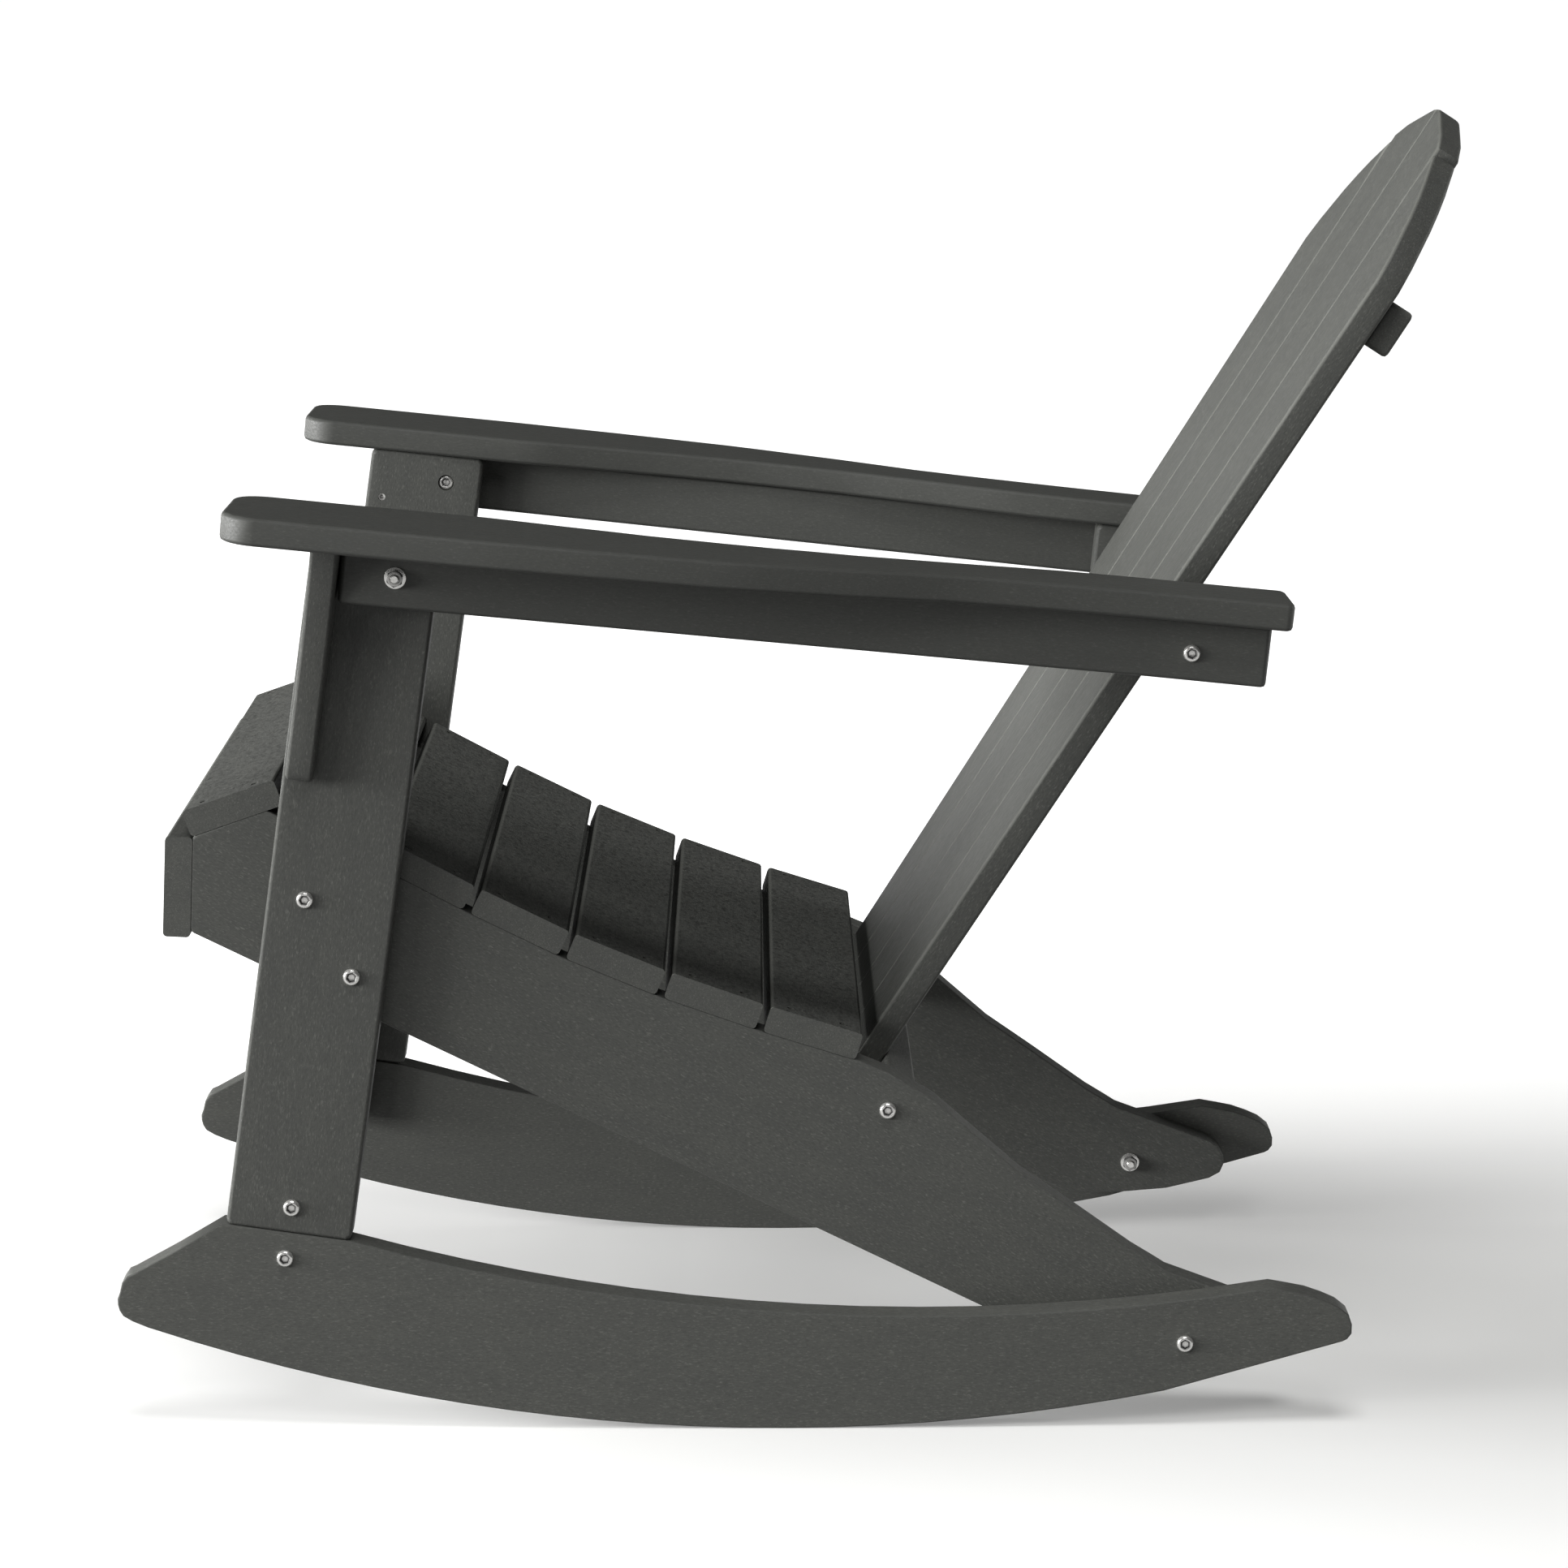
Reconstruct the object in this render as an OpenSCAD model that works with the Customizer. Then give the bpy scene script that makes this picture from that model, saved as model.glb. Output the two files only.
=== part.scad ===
// Rocking adirondack chair, cut from boards of grained plastic lumber and bolted together.
// The boards are laid out with the front legs upright: x runs across the chair, y to the rear
// and z up, from a datum on the seat. The whole chair is then leaned back about x until it
// rests on the middle of its rockers, with the floor at zero height.

/* [Stock] */
// Thickness of the slats, arms, apron and brackets
thin_t = 20.5; // [15:0.5:24]
// Thickness of the legs, rockers, seat side boards and rails
heavy_t = 25.4; // [21:0.2:30]
// Width of the rails, cleats and cross boards cut from the heavy stock
rail_w = 45.6; // [38:0.2:52]
// Rounding along the edges of the boards
edge_r = 3; // [2:0.25:4]
// Rounding along the cut edges of the rockers and seat side boards
cut_r = 1.2; // [0.8:0.1:2]

/* [Seat] */
// Length of the seat slats, which is the width over both seat side boards
seat_w = 508; // [450:2:570]
// Width of each seat slat
slat_w = 73; // [66:0.5:80]
// Gap between neighbouring seat slats
slat_gap = 6.4; // [4:0.2:9]
// Slope of the front slat, rising to the crest of the seat
nose_angle = 27.5; // [20:0.5:35]
// Length by which the front slat runs past the crest
nose_over = 13; // [8:0.5:18]
// Distance of the crest ahead of the datum
crest_out = 166.2; // [150:0.2:180]
// Height of the crest above the datum
crest_up = 37.5; // [25:0.5:50]
// Lean of the seat side boards' front edge and of the apron
apron_lean = 5.5; // [0:0.5:12]
// Width of the apron, down from the front slat
apron_w = 77.5; // [66:0.5:86]

/* [Legs] */
// Width of the front legs
leg_w = 95; // [80:1:110]
// Distance of the legs' front edge ahead of the datum
leg_out = 156; // [146:1:166]
// Depth of the legs' lower ends below the datum
leg_drop = 277; // [250:0.1:310]
// Length of the cleats that join the legs to the rockers
cleat_l = 89; // [80:1:105]

/* [Rockers] */
// Radius of the rockers' curved underside
rocker_r = 1466; // [1250:1:1900]
// Radius of the rockers' curved top edge
top_r = 1600; // [1400:5:2000]
// Depth from the legs' lower ends to the lowest point of the upright rockers
rocker_depth = 115.7; // [105:0.1:125]
// Distance of the curved underside's centre behind the datum
rocker_mid = 73.2; // [50:0.2:100]
// Length of the rockers ahead of the legs
nose_l = 74; // [60:1:85]
// Distance of the rockers' rear tips behind the datum
rocker_back = 699.5; // [660:0.5:730]
// Distance of the seat side boards' foot bolts ahead of the rockers' rear tips
foot_in = 124.2; // [110:0.1:135]
// Length of the seat side boards' feet behind those bolts
foot_l = 81; // [70:1:90]

/* [Arms] */
// Height of the arms' underside above the datum
arm_z = 259.8; // [235:0.2:285]
// Rise of the arms toward the rear
arm_tilt = 2.485; // [0:0.005:5]
// Length by which the arms' outer edges overhang the legs
arm_over = 96.6; // [75:0.2:115]
// Length of the arms ahead of the legs
arm_nose = 60.5; // [45:0.5:75]
// Length of the arms behind the rail end blocks
arm_tail = 13; // [8:1:20]
// Length of the rail end blocks
block_l = 91.5; // [80:0.5:104]
// Width of the arm brackets at the top
bracket_w = 46; // [40:1:65]
// Height of the arm brackets
bracket_h = 183; // [150:1:205]

/* [Back] */
// Slope of the back above the horizontal, with the legs upright
back_angle = 65.6; // [60:0.2:72]
// Distance from the rear slat of the seat to the face of the back
back_gap = 15.6; // [9:0.2:20]
// Length of the back slats below the seat's top surface
back_drop = 73.5; // [60:0.5:82]
// Length of the back, from its lower end to the middle of its round top
back_l = 884.5; // [800:0.5:960]
// Width of the back at its lower end
back_w = 359; // [330:1:390]
// Width that the back gains toward the top
back_flare = 98; // [40:1:120]
// Seam between neighbouring back slats
seam = 1.2; // [0.8:0.1:3]
// Width of the upper batten
batten_w = 38; // [30:1:46]
// Distance of the upper batten's middle below the back's top
batten_down = 164; // [140:1:190]

/* [Pose] */
// Angle at which the whole chair leans back when it stands by itself
lean = 8.2; // [6:0.1:10]

/* [Fasteners] */
// Diameter of the bolts
bolt_d = 6.4; // [5:0.2:8]
// Diameter of the bolts' round heads
head_d = 12.8; // [11:0.2:14]
// Height of the bolts' round heads
head_h = 3.6; // [2.8:0.1:4.4]
// Diameter of the washers
washer_d = 16; // [14:0.5:18]
// Thickness of the washers
washer_t = 1.6; // [1:0.1:2.2]
// Width of the nuts across their flats
nut_w = 11; // [10:0.1:13]
// Height of the nuts
nut_h = 5.6; // [4.4:0.1:7]
// Diameter of the screws' shanks
screw_d = 4.6; // [3.8:0.1:5.4]
// Diameter of the screws' flat heads
screw_head_d = 6.2; // [5.6:0.1:8]
// Depth to which the screws bite into the second board
screw_bite = 13; // [11:0.5:14]
// Depth to which the seat screws bite into the side boards
seat_bite = 26; // [20:1:30]
// Distance of the seat screws from the slats' long edges
screw_edge = 16; // [12:0.5:20]

/* [Hidden] */
$fn = 32;

// Colours
plastic = [0.30, 0.31, 0.29];
plastic_dark = [0.25, 0.26, 0.24];
steel = [0.75, 0.76, 0.77];

// Overrun of every cut past the face that it opens
over = 1;
// Longest straight step along an outline
step_l = 45;
// Points that make each rounded corner
corner_n = 3;
// Radius of the sawn corners in a board's outline, beyond the rounding of its edges
sawn_extra = 1.5;
corner_r = edge_r + sawn_extra;
// Radial play of bolts and screws in their holes
play = 0.2;
// Gap between boards that butt at the front of the seat
butt_gap = 1;
// Clearance between the front slat's rear corner and the second slat
crest_gap = 2.5;
// Clearance between the cross brace and the arms
brace_gap = 0.5;
// Distance of the arm brackets' face behind the legs' front edge
bracket_in = 3;
// Slopes of the other six seat slats, from the crest to the rear
slat_angles = [-19, -19.8, -18.1, -14.4, -11.3, -9.2];

// Planes across the chair
side_x = seat_w / 2;
side_in_x = side_x - heavy_t;
leg_out_x = side_x + heavy_t;

// Vector helpers
function unit(v) = v / norm(v);
function turn(v) = [-v[1], v[0]];
function dir(a) = [cos(a), sin(a)];

// Lower half of a circle at x, about c with radius r
function bowl(x, c, r) = c[1] - sqrt(r * r - (x - c[0]) * (x - c[0]));

// Points of the arc that rounds corner b between a and c, in n steps
function corner(a, b, c, r, n = corner_n) =
    let (
        u = unit(a - b),
        v = unit(c - b),
        h = acos(u * v) / 2,
        m = b + unit(u + v) * r / sin(h),
        p = b + u * r / tan(h) - m,
        q = b + v * r / tan(h) - m,
        w = 180 - 2 * h
    )
    [for (k = [0 : n]) m + (sin(w - w * k / n) * p + sin(w * k / n) * q) / sin(w)];

// A chain with points added along its long straight steps
function dense(c) = [
    for (i = [0 : len(c) - 2])
        let (n = max(1, ceil(norm(c[i + 1] - c[i]) / step_l)))
        for (j = [0 : n - 1]) c[i] + (c[i + 1] - c[i]) * j / n,
    c[len(c) - 1]
];

// The place on a chain at x
function chain_at(c, x) = lookup(x, c);

// Outline c moved inward by d, for an outline that runs anticlockwise
function inset(c, d) = [
    for (i = [0 : len(c) - 1])
        let (
            a = unit(c[i] - c[(i + len(c) - 1) % len(c)]),
            b = unit(c[(i + 1) % len(c)] - c[i])
        )
        c[i] + d * (turn(a) + turn(b)) / (1 + a * b)
];

// Triangles between a low and a high chain, which both run along x
function strip(lo, hi, i = 0, j = 0) =
    i == len(lo) - 1 && j == len(hi) - 1 ? []
    : j == len(hi) - 1 || (i < len(lo) - 1 && lo[i + 1][0] <= hi[j + 1][0])
        ? concat([[i, i + 1, len(lo) + len(hi) - 1 - j]], strip(lo, hi, i + 1, j))
        : concat([[i, len(lo) + len(hi) - 2 - j, len(lo) + len(hi) - 1 - j]], strip(lo, hi, i, j + 1));

// Board of thickness t between a low and a high chain, with edges rounded by r
module board(lo, hi, t, r = edge_r) {
    loop = concat(lo, [for (i = [len(hi) - 1 : -1 : 0]) hi[i]]);
    n = len(loop);
    down = [for (a = [90, 45, 0]) [r * (1 - cos(a)), r * (1 - sin(a))]];
    rings = concat(down, [for (i = [2 : -1 : 0]) [down[i][0], t - down[i][1]]]);
    cap = strip(lo, hi);
    polyhedron(
        points = [for (q = rings) for (p = inset(loop, q[0])) [p[0], p[1], q[1]]],
        faces = concat(
            cap,
            [for (f = cap) [for (i = [2 : -1 : 0]) f[i] + n * (len(rings) - 1)]],
            [for (k = [0 : len(rings) - 2]) for (i = [0 : n - 1])
                [n * k + i, n * k + n + i, n * k + n + (i + 1) % n, n * k + (i + 1) % n]]
        )
    );
}

// Board with four straight sides, its corners given anticlockwise from the low left one
module panel(a, b, c, d, t, r = corner_r) {
    board(
        concat(corner(d, a, b, r), corner(a, b, c, r)),
        concat(corner(a, d, c, r), corner(d, c, b, r)),
        t
    );
}

// Straight board of length l along x and width w along y
module plank(l, w, t) {
    panel([0, 0], [l, 0], [l, w], [0, w], t);
}

// Straight board of length l along x, its long edges rounded and its ends sawn square
module slat(l, w, t) {
    loop = [[0, 0], [w, 0], [w, t], [0, t]];
    rotate([90, 0, 90]) linear_extrude(height = l)
        polygon([for (i = [0 : 3]) each corner(loop[(i + 3) % 4], loop[i], loop[(i + 1) % 4], edge_r)]);
}

// Board that stands fore and aft, its outline in y and z and its inner face at x
module upright(x) {
    translate([x, 0, 0]) rotate([90, 0, 90]) children();
}

// Outline along y and toward positive x, lying flat
module flat() {
    mirror([1, 0, 0]) rotate([0, 0, 90]) children();
}

// Left and right copies
module side(s) {
    if (s > 0) children();
    else mirror([1, 0, 0]) children();
}
module both() {
    side(1) children();
    side(-1) children();
}

// Seat line, along the undersides of the slats
crest = [-crest_out, crest_up];
nose_dir = dir(nose_angle);
slat2_in = nose_over * cos(nose_angle - slat_angles[0]) + crest_gap;
function flat_start(i) =
    i == 0 ? crest + dir(slat_angles[0]) * (slat2_in - slat_gap / 2)
    : flat_start(i - 1) + dir(slat_angles[i - 1]) * (slat_w + slat_gap);
function slat_angle(i) = i == 1 ? nose_angle : slat_angles[i - 2];
function slat_start(i) =
    i == 1 ? crest + nose_dir * (nose_over - slat_w)
    : flat_start(i - 2) + dir(slat_angle(i)) * slat_gap / 2;
seat_end = flat_start(6);

module on_seat(i) {
    translate([0, slat_start(i)[0], slat_start(i)[1]]) rotate([slat_angle(i), 0, 0]) children();
}

// Back: its face passes behind the rear slat's top corner
back_dir = dir(back_angle);
seat_rear = slat_start(7) + dir(slat_angle(7)) * slat_w + turn(dir(slat_angle(7))) * thin_t;
back_low = seat_rear + [back_gap, 0] - back_dir * back_drop;

// Local x runs across, y up the back and z forward, from the back's lower end
module on_back() {
    translate([0, back_low[0], back_low[1]]) rotate([back_angle, 0, 0]) children();
}
// A point on the back at height s and depth d behind its face
function back_point(s, d) = back_low + back_dir * s - turn(back_dir) * d;
function half_w(s) = (back_w + back_flare * s / back_l) / 2;

// Arms: local y runs along the arm and z up, from the underside above the datum
module on_arm() {
    translate([0, 0, arm_z]) rotate([arm_tilt, 0, 0]) children();
}
function arm_under(y) = arm_z + y * tan(arm_tilt);

// Share of the brace's thickness at which its end bolts lie
end_bolt_share = 0.34;

// Height up the back at which the brace's top corner comes under the arms
rear_face = back_point(0, thin_t);
brace_top = (arm_under(rear_face[0]) - brace_gap - rear_face[1])
    / (back_dir[1] - back_dir[0] * tan(arm_tilt));
brace_s = brace_top - rail_w / 2;
brace_c = back_point(brace_s, thin_t + heavy_t * end_bolt_share);
lower_s = rail_w / 2 + corner_r;
lower_c = back_point(lower_s, thin_t + heavy_t / 2);
batten_s = back_l - batten_down;

// Legs and rockers
leg_y0 = -leg_out;
leg_y1 = leg_y0 + leg_w;
leg_c = leg_y0 + leg_w / 2;
rocker_c = [rocker_mid, rocker_r - rocker_depth - leg_drop];
// Share of the rocker's length at which its top edge is lowest
top_low_share = 0.276;
top_y = leg_y1 + (rocker_back - leg_y1) * top_low_share;
top_c = [top_y, sqrt(top_r * top_r - (leg_y1 - top_y) * (leg_y1 - top_y)) - leg_drop];

// Nose: shares of its length ahead of the leg and of its depth, upper points then lower ones
nose_top_share = [
    [1, 0.785], [0.985, 0.73], [0.975, 0.64], [0.935, 0.575], [0.875, 0.545], [0.47, 0.29],
    [0.04, 0]
];
nose_low_share = [[0.99, 0.835], [0.965, 0.885], [0.92, 0.93], [0.82, 0.965]];
// Share of the nose's length at which the underside leaves the arc
arc_share = 0.66;
arc_start = leg_y0 - nose_l * arc_share;
nose_h = -leg_drop - bowl(arc_start, rocker_c, rocker_r);
function nose(p) = [leg_y0 - nose_l * p[0], -leg_drop - nose_h * p[1]];

// Tail: the underside leaves the arc at the heel and rises straight to the tip
heel_angle = 24.2;
tail_l = 134;
tip_h = 35;
heel_y = rocker_back - tail_l;
heel = [heel_y, bowl(heel_y, rocker_c, rocker_r)];
tip = heel + [tail_l, tail_l * tan(heel_angle)];
tip_top_share = [
    [-1.49, 0.885], [-1.1, 0.865], [-0.72, 0.79], [-0.4, 0.7], [-0.13, 0.54], [-0.025, 0.33],
    [0, 0.13]
];
tip_low_share = [[-0.35, -0.157], [-0.17, -0.076], [-0.075, -0.01]];
arc_n = 16;
// Share of the tip's height that its rounded top runs ahead of the tip
tip_run_share = 1.9;
top_end = rocker_back - tip_h * tip_run_share;
rocker_top = concat(
    [for (p = nose_top_share) nose(p)],
    [[leg_y1, -leg_drop]],
    [for (i = [1 : arc_n])
        let (y = leg_y1 + (top_end - leg_y1) * i / arc_n) [y, bowl(y, top_c, top_r)]],
    [for (p = tip_top_share) tip + tip_h * p]
);
rocker_low = concat(
    [for (p = nose_low_share) nose(p)],
    [for (i = [0 : arc_n + 6])
        let (y = arc_start + (heel_y - arc_start) * i / (arc_n + 6)) [y, bowl(y, rocker_c, rocker_r)]],
    [for (p = tip_low_share) tip + tip_h * p]
);

module rocker(s) color(plastic) side(s) difference() {
    upright(side_x) board(dense(rocker_low), dense(rocker_top), heavy_t, cut_r);
    for (p = [cleat_bolt_low, foot_bolt]) bolt_hole(p, side_x, leg_out_x);
}

module leg(s) color(plastic) side(s) difference() {
    upright(side_x) panel(
        [leg_y0, -leg_drop], [leg_y1, -leg_drop],
        [leg_y1, arm_under(leg_y1)], [leg_y0, arm_under(leg_y0)], heavy_t
    );
    for (p = concat(leg_bolt, [cleat_bolt_top, rail_bolt])) bolt_hole(p, side_x, leg_out_x);
    upright_hole(rail_bolt, side_x - over, side_x + head_sink, head_d / 2 + play);
    for (p = bracket_screw) screw_hole_x(p, side_x, leg_out_x);
}

// Cleat on the inner faces of leg and rocker
cleat_drop = 5.5;
module cleat(s) color(plastic_dark) side(s) difference() {
    upright(side_in_x) translate([leg_c - rail_w / 2, -leg_drop - cleat_drop - cleat_l / 2, 0])
        plank(rail_w, cleat_l, heavy_t);
    for (p = [cleat_bolt_top, cleat_bolt_low]) bolt_hole(p, side_in_x, side_x);
}

// Seat side board: the nose flat, a flat for each slat, then the tail down to its foot
side_front = slat_start(1) + nose_dir * butt_gap;
side_front_low = side_front + [sin(apron_lean), -cos(apron_lean)] * slat_w;
foot_bolt_y = rocker_back - foot_in;
foot_bolt = [foot_bolt_y,
    (chain_at(rocker_low, foot_bolt_y) + chain_at(rocker_top, foot_bolt_y)) / 2];
tail_share = [
    [0.067, 0.037], [0.169, 0.129], [0.228, 0.211], [0.375, 0.413], [0.496, 0.542], [0.64, 0.7],
    [0.689, 0.745]
];
foot_top_share = [[-0.235, 0.58], [0.8, 0.355], [0.92, 0.29], [0.985, 0.2], [1, 0.11]];
foot_low_share = [
    [-0.68, -0.402], [-0.6, -0.413], [-0.4, -0.403], [-0.03, -0.34], [0.43, -0.235],
    [0.87, -0.06], [0.975, 0.02]
];
foot_tip = foot_bolt + foot_l * foot_top_share[4];
side_top = concat(
    corner(side_front_low, side_front, crest, corner_r),
    [crest],
    [for (i = [1 : 6]) flat_start(i)],
    [for (p = tail_share)
        seat_end + [(foot_tip - seat_end)[0] * p[0], (foot_tip - seat_end)[1] * p[1]]],
    [for (p = foot_top_share) foot_bolt + foot_l * p]
);
side_low = concat(
    corner(side_front, side_front_low, foot_bolt + foot_l * foot_low_share[0], corner_r),
    [for (p = foot_low_share) foot_bolt + foot_l * p]
);

module seat_side(s) color(plastic) side(s) difference() {
    upright(side_in_x) board(dense(side_low), dense(side_top), heavy_t, cut_r);
    for (p = concat(leg_bolt, [foot_bolt, lower_c])) bolt_hole(p, side_in_x, side_x);
    for (i = [1 : 7]) on_seat(i) for (y = [screw_edge, slat_w - screw_edge])
        translate([screw_x, y, -seat_bite]) cylinder(h = seat_bite + over, d = screw_d + play);
    on_apron() for (p = apron_screw_share)
        translate([screw_x, -apron_w * p, -seat_bite]) cylinder(h = seat_bite + over, d = screw_d + play);
}

// Apron: local y runs up the front edge and z forward, from the side boards' top front corner
module on_apron() {
    translate([0, side_front[0], side_front[1]]) rotate([90 + apron_lean, 0, 0]) children();
}
module apron() color(plastic) difference() {
    on_apron() translate([-side_x, -apron_w, 0]) slat(seat_w, apron_w - butt_gap, thin_t);
    both() on_apron() for (p = apron_screw_share)
        translate([screw_x, -apron_w * p, 0]) screw_hole(thin_t);
}

module seat_slat(i) color(plastic) difference() {
    on_seat(i) translate([-side_x, 0, 0]) slat(seat_w, slat_w, thin_t);
    both() on_seat(i) for (y = [screw_edge, slat_w - screw_edge])
        translate([screw_x, y, 0]) screw_hole(thin_t);
}

// Arm: shares of its length from the front, and of its reach, outer edge then inner edge
arm_reach = leg_out_x + arm_over;
arm_y0 = leg_y0 - arm_nose;
// Share of the rail end blocks' length behind the brace's bolts
block_back_share = 0.622;
block_y1 = brace_c[0] + block_l * block_back_share;
arm_y1 = block_y1 + arm_tail;
arm_l = arm_y1 - arm_y0;
arm_out_share = [
    [0.045, 1], [0.225, 1], [0.277, 0.993], [0.341, 0.985], [0.386, 0.976], [0.457, 0.9605],
    [0.495, 0.945], [0.532, 0.925], [0.577, 0.903], [0.623, 0.874], [0.669, 0.843],
    [0.721, 0.8235], [0.785, 0.808], [0.856, 0.795], [0.93, 0.7875]
];
arm_in_share = [
    [0.11, 0.669], [0.236, 0.66], [0.274, 0.669], [0.313, 0.68], [0.351, 0.686],
    [0.39, 0.696], [0.463, 0.699], [0.506, 0.697], [0.545, 0.689], [0.583, 0.686],
    [0.623, 0.673], [0.661, 0.6595], [0.7, 0.646], [0.74, 0.6295], [0.78, 0.614], [0.858, 0.601],
    [0.952, 0.5955]
];
nose_r = 27;
nose_n = 6;
tail_r = 6;
rear_out_share = 0.7846;
rear_in_share = 0.5905;
front_in_share = 0.669;
function arm_pt(p) = [arm_y0 + arm_l * p[0], arm_reach * p[1]];
arm_fo = arm_pt([0, 1]);
arm_fi = arm_pt([0, front_in_share]);
arm_ro = arm_pt([1, rear_out_share]);
arm_ri = arm_pt([1, rear_in_share]);
arm_hi = concat(
    corner(arm_fi, arm_fo, arm_pt([1, 1]), nose_r, nose_n),
    [for (p = arm_out_share) arm_pt(p)],
    corner(arm_pt(arm_out_share[14]), arm_ro, arm_ri, tail_r)
);
arm_lo = concat(
    corner(arm_fo, arm_fi, arm_pt([1, front_in_share]), nose_r, nose_n),
    [for (p = arm_in_share) arm_pt(p)],
    corner(arm_pt(arm_in_share[16]), arm_ri, arm_ro, tail_r)
);

module arm(s) color(plastic) side(s) difference() {
    on_arm() flat() board(arm_lo, arm_hi, thin_t);
    on_arm() for (y = arm_screw_y)
        translate([rail_x(y), y, -over]) cylinder(h = screw_bite + over, d = screw_d + play);
}

// Rail under the arm: flush on the leg, then sprung in to the block at the rear
block_y0 = block_y1 - block_l;
rail_y0 = leg_y0 + bracket_in + thin_t + play;
rail_in = [[rail_y0, leg_out_x], [leg_y1, leg_out_x], [block_y0, side_x], [block_y1, side_x]];
rail_out = [for (p = rail_in) p + [0, heavy_t]];
function rail_x(y) = chain_at(rail_in, y) + heavy_t / 2;
arm_screw_share = [0.19, 0.5, 0.76];
arm_screw_y = [for (p = arm_screw_share) rail_y0 + (block_y1 - rail_y0) * p];

module arm_rail(s) color(plastic_dark) side(s) difference() {
    on_arm() translate([0, 0, -rail_w]) flat() board(
        concat(corner(rail_out[0], rail_in[0], rail_in[1], corner_r), [rail_in[1], rail_in[2]],
            corner(rail_in[2], rail_in[3], rail_out[3], corner_r)),
        concat(corner(rail_in[0], rail_out[0], rail_out[1], corner_r), [rail_out[1], rail_out[2]],
            corner(rail_out[2], rail_out[3], rail_in[3], corner_r)),
        rail_w
    );
    for (p = [rail_bolt, brace_c]) bolt_hole(p, side_x - over, leg_out_x + heavy_t + over);
    on_arm() for (y = arm_screw_y) translate([rail_x(y), y, 0]) rotate([180, 0, 0]) {
        screw_hole(rail_w - rail_sink + screw_sink);
        translate([0, 0, rail_w - rail_sink]) cylinder(h = rail_sink + over, d = screw_head_d + play);
    }
}

module rail_block(s) color(plastic_dark) side(s) difference() {
    on_arm() translate([side_in_x, block_y0, -rail_w]) rotate([90, 0, 90])
        panel([0, 0], [block_l, 0], [block_l, rail_w], [0, rail_w], heavy_t);
    bolt_hole(brace_c, side_in_x, side_x);
}

// Bracket between leg and arm: shares of its width and height, up its curved edge
bracket_top = arm_under(leg_y0 + bracket_in);
bracket_share = [
    [0, 0.03], [0.04, 0.008], [0.13, 0], [0.27, 0.005], [0.36, 0.03], [0.4, 0.08], [0.42, 0.2],
    [0.45, 0.35], [0.5, 0.5], [0.58, 0.65], [0.7, 0.79], [0.85, 0.9], [0.97, 0.965], [1, 0.985]
];
bracket_y = leg_y0 + bracket_in + thin_t;
module arm_bracket(s) color(plastic) side(s) difference() {
    translate([leg_out_x, bracket_y, bracket_top - bracket_h]) rotate([90, 0, 0]) board(
        [for (p = bracket_share) [bracket_w * p[0], bracket_h * p[1]]],
        [[0, bracket_h], [bracket_w, bracket_h]],
        thin_t
    );
    for (p = bracket_screw)
        upright_hole(p, leg_out_x - over, leg_out_x + screw_bite, screw_d / 2 + play / 2);
}

// Cross boards behind the back
module cross_board(s, l, w, t) {
    on_back() translate([-l / 2, s - w / 2, -thin_t - t]) plank(l, w, t);
}
module lower_support() color(plastic_dark) difference() {
    cross_board(lower_s, 2 * side_in_x, rail_w, heavy_t);
    both() upright_hole(lower_c, side_in_x - end_bite, side_in_x + over, bolt_d / 2 + play);
    back_holes(lower_s, heavy_t);
}
module cross_brace() color(plastic_dark) difference() {
    cross_board(brace_s, 2 * side_in_x, rail_w, heavy_t);
    both() upright_hole(brace_c, side_in_x - end_bite, side_in_x + over, bolt_d / 2 + play);
    back_holes(brace_s, heavy_t);
}
batten_end = 14;
module back_batten() color(plastic_dark) difference() {
    cross_board(batten_s, 2 * (half_w(batten_s) - batten_end), batten_w, thin_t);
    back_holes(batten_s, thin_t);
}

// Back slats: shares of the half width and of the length, along the round top
top_out_share = [
    [0.845, 0.985], [0.868, 0.935], [0.886, 0.876], [0.903, 0.82], [0.921, 0.741],
    [0.937, 0.656], [0.953, 0.548]
];
top_in_share = [
    [1, 0], [0.999, 0.06], [0.9955, 0.12], [0.9855, 0.28], [0.979, 0.38], [0.967, 0.495]
];
outer_seam_share = 0.9605;
function seam_x(k, s) = half_w(s) * k / 2;
function top_pt(p) = [back_l * p[0], half_w(back_l * p[0]) * p[1]];

// Slat between seams k and k + 1, counted from the middle
module back_blank(k) {
    gap = seam / 2;
    end_s = k == 0 ? back_l : back_l * outer_seam_share;
    lo = concat(
        corner([0, seam_x(k + 1, 0)], [0, seam_x(k, 0) + gap], [end_s, seam_x(k, end_s) + gap],
            corner_r),
        [[end_s, seam_x(k, end_s) + gap]]
    );
    hi = k == 0
        ? concat(
            corner([0, 0], [0, seam_x(1, 0) - gap], [back_l, seam_x(1, back_l) - gap], corner_r),
            [for (i = [len(top_in_share) - 1 : -1 : 1]) top_pt(top_in_share[i]) - [0, gap]])
        : concat(
            corner([0, 0], [0, half_w(0)], [back_l, half_w(back_l)], corner_r),
            [for (p = top_out_share) top_pt(p)]);
    board(dense(lo), dense(hi), thin_t);
}
module back_slat(i) color(plastic) difference() {
    on_back() translate([0, 0, -thin_t]) side(i > 2 ? 1 : -1) flat()
        back_blank(i == 1 || i == 4 ? 1 : 0);
    back_pilots();
}

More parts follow.
